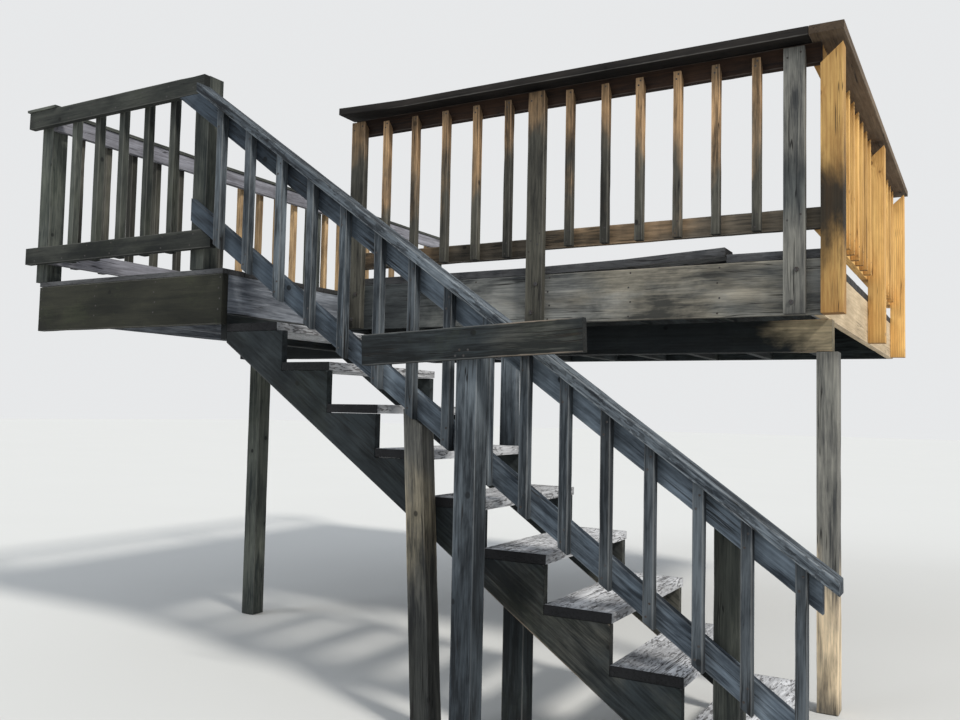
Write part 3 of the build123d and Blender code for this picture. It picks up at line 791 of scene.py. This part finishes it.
def nail_crossings(outer, inner, facing, kind="nail", count=2, inset=0.018, flush=False):
    """Nails where the boards of one node lie against those of another, spread over what they share."""
    axis = max(range(3), key=lambda i: abs(facing[i]))
    others = [i for i in range(3) if i != axis]
    front, back = ("high", "low") if facing[axis] > 0 else ("low", "high")
    for a in boards[outer]:
        for b in boards[inner]:
            if abs(a[back][axis] - b[front][axis]) > TOUCHING:
                continue
            low = [max(a["low"][i], b["low"][i]) for i in others]
            high = [min(a["high"][i], b["high"][i]) for i in others]
            span = [h - l for l, h in zip(low, high)]
            if min(span) < LEAST_WIDTH:
                continue
            long_side = 0 if span[0] >= span[1] else 1
            for n in range(count):
                place = [0.0, 0.0, 0.0]
                place[axis] = a[front][axis]
                for k in (0, 1):
                    margin = min(inset, span[k] * MOST_INSET)
                    if k == long_side:
                        place[others[k]] = low[k] + margin + (span[k] - 2 * margin) * (n / (count - 1))
                    else:
                        place[others[k]] = low[k] + span[k] * (0.5 + (STAGGER if n % 2 else -STAGGER))
                fix(kind, outer, place, facing, flush)


def nail_slope(outer, rail):
    """Two nails through each baluster where it crosses a sloping rail."""
    for a in boards[outer]:
        x = a["middle"].x
        for b in boards[rail]:
            step = (x - b["middle"].x) / b["along"].x
            if abs(step) > b["half"].x:
                continue
            spot = b["middle"] + b["along"] * step
            for up, aside in ((-SLOPE_UP, -SLOPE_ASIDE), (SLOPE_UP, SLOPE_ASIDE)):
                z = spot.z + up
                if a["low"].z + END_CLEAR < z < a["high"].z - END_CLEAR:
                    fix("nail", outer, (x + aside, a["low"].y, z), OUT)


def head_tree(name, sides):
    """Geometry nodes that put a head on every marked point, turned to face out."""
    tree = bpy.data.node_groups.new(name, "GeometryNodeTree")
    for label, kind in (("Geometry", "Geometry"), ("Radius", "Float"), ("Height", "Float"), ("Seed", "Int"),
                        ("Material", "Material")):
        tree.interface.new_socket(name=label, in_out="INPUT", socket_type="NodeSocket" + kind)
    tree.interface.new_socket(name="Geometry", in_out="OUTPUT", socket_type="NodeSocketGeometry")
    start, end, head, facing, turn, spin, axis, both, place, real, coat = (tree.nodes.new(kind) for kind in (
        "NodeGroupInput", "NodeGroupOutput", "GeometryNodeMeshCylinder", "GeometryNodeInputNamedAttribute",
        "FunctionNodeAlignRotationToVector", "FunctionNodeRandomValue", "FunctionNodeAxisAngleToRotation",
        "FunctionNodeRotateRotation", "GeometryNodeInstanceOnPoints", "GeometryNodeRealizeInstances",
        "GeometryNodeSetMaterial"))
    head.inputs["Vertices"].default_value = sides
    facing.data_type = "FLOAT_VECTOR"
    facing.inputs["Name"].default_value = "facing"
    turn.axis = "Z"
    spin.data_type = "FLOAT"
    spin.inputs[2].default_value = 0.0
    spin.inputs[3].default_value = math.tau
    axis.inputs["Axis"].default_value = UP
    both.rotation_space = "LOCAL"
    for output, socket in (
        (start.outputs["Radius"], head.inputs["Radius"]), (start.outputs["Height"], head.inputs["Depth"]),
        (facing.outputs["Attribute"], turn.inputs["Vector"]), (start.outputs["Seed"], spin.inputs["Seed"]),
        (spin.outputs[1], axis.inputs["Angle"]), (turn.outputs[0], both.inputs[0]),
        (axis.outputs[0], both.inputs[1]), (start.outputs["Geometry"], place.inputs["Points"]),
        (head.outputs["Mesh"], place.inputs["Instance"]), (both.outputs[0], place.inputs["Rotation"]),
        (place.outputs["Instances"], real.inputs["Geometry"]),
        (real.outputs["Geometry"], coat.inputs["Geometry"]),
        (start.outputs["Material"], coat.inputs["Material"]),
        (coat.outputs["Geometry"], end.inputs["Geometry"]),
    ):
        tree.links.new(output, socket)
    return tree


def make_heads(name, kind, radius, height, material, sides, seed):
    """Builds all the heads of one kind as one plain mesh."""
    spots = fixings[kind]
    if not spots:
        raise RuntimeError("no places for " + name)
    mesh = bpy.data.meshes.new(name + "_points")
    proud = [NAIL_PROUD if flush or kind == "nail" else height - LAG_SUNK for _, _, flush in spots]
    points = [tuple(hit + facing * (out - height / 2)) for (hit, facing, _), out in zip(spots, proud)]
    mesh.from_pydata(points, [], [])
    layer = mesh.attributes.new("facing", "FLOAT_VECTOR", "POINT")
    layer.data.foreach_set("vector", [part for _, facing, _ in spots for part in facing])
    holder = add_object(name + "_points", mesh)
    tree = head_tree(name + " heads", sides)
    modifier = holder.modifiers.new("heads", "NODES")
    modifier.node_group = tree
    values = {"Radius": radius, "Height": height, "Seed": seed, "Material": material}
    for item in tree.interface.items_tree:
        if item.item_type == "SOCKET" and item.in_out == "INPUT" and item.name in values:
            modifier[item.identifier] = values[item.name]
    bpy.context.view_layer.update()
    graph = bpy.context.evaluated_depsgraph_get()
    plain = bpy.data.meshes.new_from_object(holder.evaluated_get(graph), depsgraph=graph)
    holder.modifiers.remove(modifier)
    bpy.data.objects.remove(holder)
    plain.name = name
    if "facing" in plain.attributes:
        plain.attributes.remove(plain.attributes["facing"])
    piece = add_object(name, plain)
    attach(piece, "root")


# Operators

GREY, DARK, HONEY = "grey_timber", "dark_timber", "honey_timber"
# Where like boards in one node change finish: an axis, and a place along it in metres.
# Above this height the front rails take the upper rails' painted shade.
OVER_RAILS = ("z", 0.7)
# Below this height the stair balusters take the shaded copy.
UPPER_STAIR = ("z", -0.75)
NEAR_WALL = ("y", -2.6)
# The beam posts left of this take the dark landing finish as painted shade, and those right of it the lit leg
# finish.
RIGHT_SIDE = ("x", 0.0)


def piece_operator(key, label, tells, pieces):
    """An operator that dresses like pieces, each given as its node, slot, finishes and where they change."""

    def execute(self, context):
        for piece in pieces:
            dress_node(*piece)
        return {"FINISHED"}

    return type("DECK_OT_" + key, (bpy.types.Operator,), {
        "__doc__": tells, "bl_idname": "deck." + key, "bl_label": label, "execute": execute,
    })


piece_steps = tuple(piece_operator(*row) for row in (
    ("platform", "Platform frame", "Dress the platform's ledgers, joists, rims, fascia and stringer header", (
        ("house_ledgers", GREY, "shade"), ("deck_joists", GREY, "shade"), ("front_rim_joist", GREY, "rim"),
        ("walkway_joists", GREY, "slate"), ("right_rim_joist", GREY, "flank"),
        ("landing_fascia", GREY, "fascia"), ("stringer_header", GREY, "shade"))),
    ("beam", "Beam and posts", "Dress the beam's two plies and its posts", (
        ("beam_front_ply", GREY, "beam"), ("beam_back_ply", GREY, "beam"),
        ("beam_posts", DARK, "landing", "leg", RIGHT_SIDE))),
    ("boards", "Deck and walkway boards", "Dress the deck's and the walkway's boards", (
        ("deck_boards", GREY, "board"), ("walkway_boards", GREY, "board"))),
    ("front_guard", "Front guard", "Dress the guard along the deck's front", (
        ("front_post_left", GREY, "post"), ("front_post_middle", GREY, "post"),
        ("front_post_right", GREY, "ash"), ("front_rails", GREY, "rail", "umber", OVER_RAILS),
        ("front_balusters", GREY, "spindle"), ("corner_post", HONEY, "corner"), ("front_cap", DARK, "cap"))),
    ("side_guard", "Right side guard", "Dress the newer guard along the deck's right side", (
        ("side_post_middle", HONEY, "honey"), ("side_post_end", HONEY, "honey"),
        ("side_rails", HONEY, "honey"), ("side_balusters", HONEY, "honey"), ("side_cap", HONEY, "bark"))),
    ("landing_guard", "Landing and walkway guard", "Dress the landing's guard and the walkway's far guard", (
        ("landing_post_left", GREY, "landing"), ("landing_post_right", GREY, "landing"),
        ("landing_rails", GREY, "sable"), ("landing_balusters", GREY, "landing"),
        ("left_post_middle", GREY, "landing"), ("left_post_end", GREY, "landing"),
        ("left_rails", GREY, "pale"), ("left_balusters", GREY, "dun", "tan", NEAR_WALL),
        ("left_caps", GREY, "landing"))),
    ("flight", "Stair flight", "Dress the stair's treads and sawtooth stringers", (
        ("treads", GREY, "tread"), ("near_stringer", GREY, "stringer"), ("far_stringer", GREY, "stringer"))),
    ("stair_guard", "Stair guard", "Dress the stair's sloping guard and its newel", (
        ("stair_rails", GREY, "railing"), ("stair_cap", GREY, "ridge"),
        ("stair_balusters", GREY, "picket", "slat", UPPER_STAIR), ("lower_newel", DARK, "landing"))),
    ("standing_posts", "Posts by the stair", "Dress the posts that stand by the stair, and the cross board", (
        ("brace_post", GREY, "prop"), ("hanger_post", GREY, "upright"), ("middle_post", DARK, "shade"),
        ("cross_post", GREY, "upright"), ("cross_board", DARK, "crossing"))),
))


class DECK_OT_fixings(bpy.types.Operator):
    """Add the nails and lag screws"""
    bl_idname = "deck.fixings"
    bl_label = "Nails and lag screws"

    def execute(self, context):
        for joists in ("deck_joists", "front_rim_joist", "right_rim_joist"):
            nail_crossings("deck_boards", joists, UP)
        nail_crossings("walkway_boards", "walkway_joists", UP)
        for stringer in ("near_stringer", "far_stringer"):
            nail_crossings("treads", stringer, UP, count=3)
        nail_crossings("front_rim_joist", "deck_joists", OUT, count=4)
        nail_crossings("landing_fascia", "walkway_joists", OUT, count=4)
        nail_crossings("front_balusters", "front_rails", OUT)
        nail_crossings("side_balusters", "side_rails", RIGHT)
        for upright in ("landing_balusters", "landing_post_left", "landing_post_right"):
            nail_crossings("landing_rails", upright, OUT)
        nail_crossings("front_cap", "front_rails", UP, count=9, inset=0.05)
        nail_crossings("side_cap", "side_rails", UP, count=12, inset=0.05)
        nail_crossings("cross_board", "cross_post", OUT, count=4)
        nail_slope("stair_balusters", "stair_rails")
        for post in ("front_post_left", "front_post_middle", "front_post_right"):
            nail_crossings(post, "front_rails", OUT)
            nail_crossings(post, "front_rim_joist", OUT, kind="lag", inset=0.05)
        for post in ("side_post_middle", "side_post_end"):
            nail_crossings(post, "right_rim_joist", RIGHT, kind="lag", inset=0.05, flush=True)
        for post in ("lower_newel", "brace_post"):
            nail_crossings(post, "near_stringer", OUT, kind="lag", inset=0.06)
        sizes = context.scene.deck_fixings
        nail = metal_material("Rusted nail", sizes.rust, sizes.steel, rough=0.85)
        lag = metal_material("Lag screw steel", sizes.steel, sizes.rust, rough=0.75)
        make_heads("nail_heads", "nail", sizes.nail_radius, sizes.nail_height, nail, sides=9, seed=3)
        make_heads("lag_screw_heads", "lag", sizes.lag_radius, sizes.lag_height, lag, sides=6, seed=5)
        return {"FINISHED"}


# Stage

FLOOR_DROP = 0.002
FLOOR_DARKER = 0.97
LAMP_AIM = (0.0, -1.5, -0.5)
# Each lamp: its share of the key lamp's strength, its place, its spread in degrees and its tint.
LAMPS = {
    "key": (1.0, (9.0, -5.5, 9.0), 9.0, (1.0, 0.965, 0.91)),
    "rim": (0.30, (-6.0, -9.0, 5.0), 30.0, (0.90, 0.95, 1.0)),
}
FILL_TINT = (0.90, 0.96, 1.05)


def add_floor(stage):
    """The plain pale floor, a little under the posts."""
    reach, level = stage.floor_reach, GROUND - FLOOR_DROP
    mesh = bpy.data.meshes.new("floor")
    corners = [(-reach, -reach, level), (reach, -reach, level), (reach, reach, level), (-reach, reach, level)]
    mesh.from_pydata(corners, [], [(0, 1, 2, 3)])
    material, w, shader = new_material("Pale floor")
    cloud = w.noise(w.node("TexCoord").outputs["Object"], scale=0.6, detail=3.0, rough=0.55)
    darker = tuple(part * FLOOR_DARKER for part in stage.floor_colour)
    w.put(shader["Base Color"], w.mix(cloud, (*darker, 1.0), (*stage.floor_colour, 1.0)))
    shader["Roughness"].default_value = 0.9
    shader["Specular IOR Level"].default_value = 0.1
    mesh.materials.append(material)
    floor = add_object("floor", mesh)


def add_lamps(stage):
    """The soft suns."""
    for name, (share, place, spread, tint) in LAMPS.items():
        data = bpy.data.lights.new(name, "SUN")
        data.energy = stage.key_strength * share
        data.color = tint
        data.angle = math.radians(spread)
        item = add_object(name, data)
        item.location = place
        item.rotation_euler = (Vector(LAMP_AIM) - Vector(place)).to_track_quat("-Z", "Y").to_euler()


def add_world(stage):
    """Even light from all round, and the pale background that the camera and the gloss see."""
    world = bpy.data.worlds.new("pale surroundings")
    bpy.context.scene.world = world
    world.use_nodes = True
    w = Wiring(world.node_tree)
    path = w.node("LightPath").outputs
    seen = w.math("MAXIMUM", path["Is Camera Ray"], path["Is Glossy Ray"])
    seen = w.math("MAXIMUM", seen, path["Is Transmission Ray"])
    fill = tuple(part * stage.fill_strength for part in FILL_TINT)
    back = w.tree.nodes["Background"].inputs
    w.put(back["Color"], w.mix(seen, (*fill, 1.0), (*stage.back_colour, 1.0)))
    back["Strength"].default_value = 1.0


def add_camera():
    """The camera at the photograph's place and angle."""
    data = bpy.data.cameras.new("photograph view")
    data.sensor_width = SENSOR_WIDTH
    data.sensor_fit = "HORIZONTAL"
    data.lens = VIEW_FOCAL_PIXELS / VIEW_WIDTH_PIXELS * SENSOR_WIDTH
    data.clip_start = 0.05
    data.clip_end = 400.0
    left, tilt, roll = (math.radians(angle) for angle in (VIEW_TURN_LEFT, VIEW_TILT_UP, VIEW_ROLL))
    ahead = Vector((-math.sin(left) * math.cos(tilt), math.cos(left) * math.cos(tilt), math.sin(tilt)))
    level_right = Vector((math.cos(left), math.sin(left), 0.0))
    down = ahead.cross(level_right)
    view_right = level_right * math.cos(roll) + down * math.sin(roll)
    view_down = down * math.cos(roll) - level_right * math.sin(roll)
    turn = Matrix((view_right, -view_down, -ahead)).transposed()
    camera = add_object("photograph view", data)
    camera.matrix_world = Matrix.Translation(VIEW_PLACE) @ turn.to_4x4()
    bpy.context.scene.camera = camera


class DECK_OT_stage(bpy.types.Operator):
    """Add the pale floor, the soft lamps and the photograph's camera"""
    bl_idname = "deck.stage"
    bl_label = "Stage"

    def execute(self, context):
        stage = context.scene.deck_stage
        add_floor(stage)
        add_lamps(stage)
        add_world(stage)
        add_camera()
        context.scene.view_settings.view_transform = "Standard"
        return {"FINISHED"}


class DECK_PT_panel(bpy.types.Panel):
    """Lists the sizes and colours, and the steps that make the deck and stair"""
    bl_label = "Deck and stair"
    bl_idname = "DECK_PT_panel"
    bl_space_type = "VIEW_3D"
    bl_region_type = "UI"
    bl_category = "Deck stair"

    def draw(self, context):
        for name in settings:
            group = getattr(context.scene, name)
            box = self.layout.box()
            for label in group.__annotations__:
                box.prop(group, label)
        for step in steps:
            self.layout.operator(step.bl_idname)


settings = {
    "deck_timber": TimberSizes, "deck_colours": TimberColours, "deck_fixings": FixingSizes,
    "deck_stage": StageSizes,
}
steps = (*piece_steps, DECK_OT_fixings, DECK_OT_stage)
classes = (*settings.values(), *steps, DECK_PT_panel)


def register():
    for item in classes:
        bpy.utils.register_class(item)
    for name, group in settings.items():
        setattr(bpy.types.Scene, name, PointerProperty(type=group))


def unregister():
    for name in settings:
        delattr(bpy.types.Scene, name)
    for item in reversed(classes):
        bpy.utils.unregister_class(item)


def main():
    register()
    bpy.ops.deck.platform()
    bpy.ops.deck.beam()
    bpy.ops.deck.boards()
    bpy.ops.deck.front_guard()
    bpy.ops.deck.side_guard()
    bpy.ops.deck.landing_guard()
    bpy.ops.deck.flight()
    bpy.ops.deck.stair_guard()
    bpy.ops.deck.standing_posts()
    bpy.ops.deck.fixings()
    bpy.ops.deck.stage()


if __name__ == "__main__":
    main()
